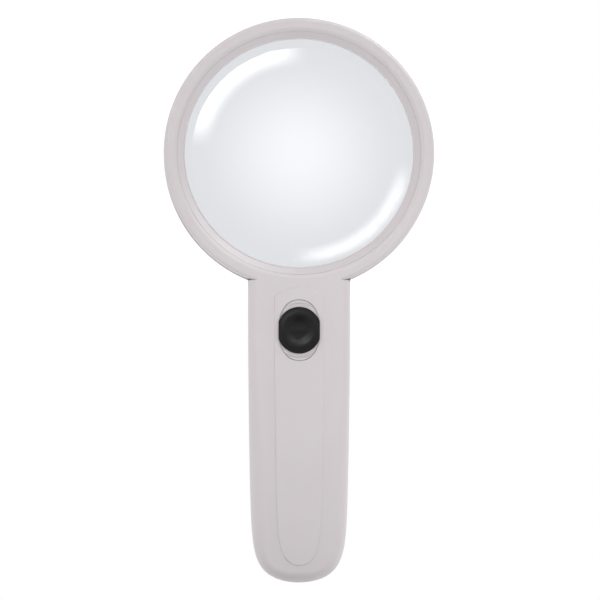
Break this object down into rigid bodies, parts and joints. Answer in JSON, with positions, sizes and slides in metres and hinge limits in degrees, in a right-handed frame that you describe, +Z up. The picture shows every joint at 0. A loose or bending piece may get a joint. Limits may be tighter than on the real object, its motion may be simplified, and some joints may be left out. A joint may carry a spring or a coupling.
{
  "type": "illuminated hand magnifier",
  "caption": "Hand-held low vision magnifier: a round lens in a ring head on a straight battery handle, with a thumb slide switch and a light behind the lens.",
  "frame": {"origin": "centre of the grip, in the handle's mid-plane between front and rear shells, 55 mm above its tip", "axes": "+Z up the handle to the lens head, -Y is the front that faces the user, +X across to the right as seen from the front"},
  "size_m": [0.1014, 0.0251, 0.2103],
  "materials": {
    "shell": "satin moulded plastic, light warm grey",
    "knob": "satin black moulded plastic",
    "lens": "polished clear lens",
    "window": "clear polished plastic",
    "carriage": "natural white acetal",
    "board": "green solder mask",
    "switch_case": "tinned steel",
    "lever": "black plastic",
    "cell": "plain glossy sleeve",
    "contact": "nickel-plated spring steel",
    "screw": "zinc-plated steel",
    "led": "clear epoxy",
    "wire_red": "matt insulation",
    "wire_black": "matt insulation",
    "wire_yellow": "matt insulation"
  },
  "bodies": {
    "housing": {"front_shell": "shell", "rear_shell": "shell", "lens": "lens", "lens_retaining_ring": "shell", "light_window": "window", "led_board": "board", "led_left": "led", "led_centre": "led", "led_right": "led", "slide_switch_body": "switch_case", "switch_board": "board", "battery_cell_left": "cell", "battery_cell_right": "cell", "contact_positive": "contact", "contact_negative": "contact", "bridge_contact": "contact", "screw_upper_left": "screw", "screw_upper_right": "screw", "screw_lower_left": "screw", "screw_lower_right": "screw", "wire_positive": "wire_red", "wire_negative": "wire_black", "wire_switch": "wire_yellow"},
    "switch_slider": {"switch_knob": "knob", "slider_carriage": "carriage", "slide_switch_lever": "lever"},
    "door": {"battery_door": "shell"}
  },
  "joints": [
    {"name": "switch_slide", "type": "slide", "parent": "housing", "child": "switch_slider", "axis": [0, 0, 1], "range_m": [-0.0024, 0.0024]},
    {"name": "door_slide", "type": "slide", "parent": "housing", "child": "door", "axis": [0, 0, -1], "range_m": [0, 0.062]}
  ]
}
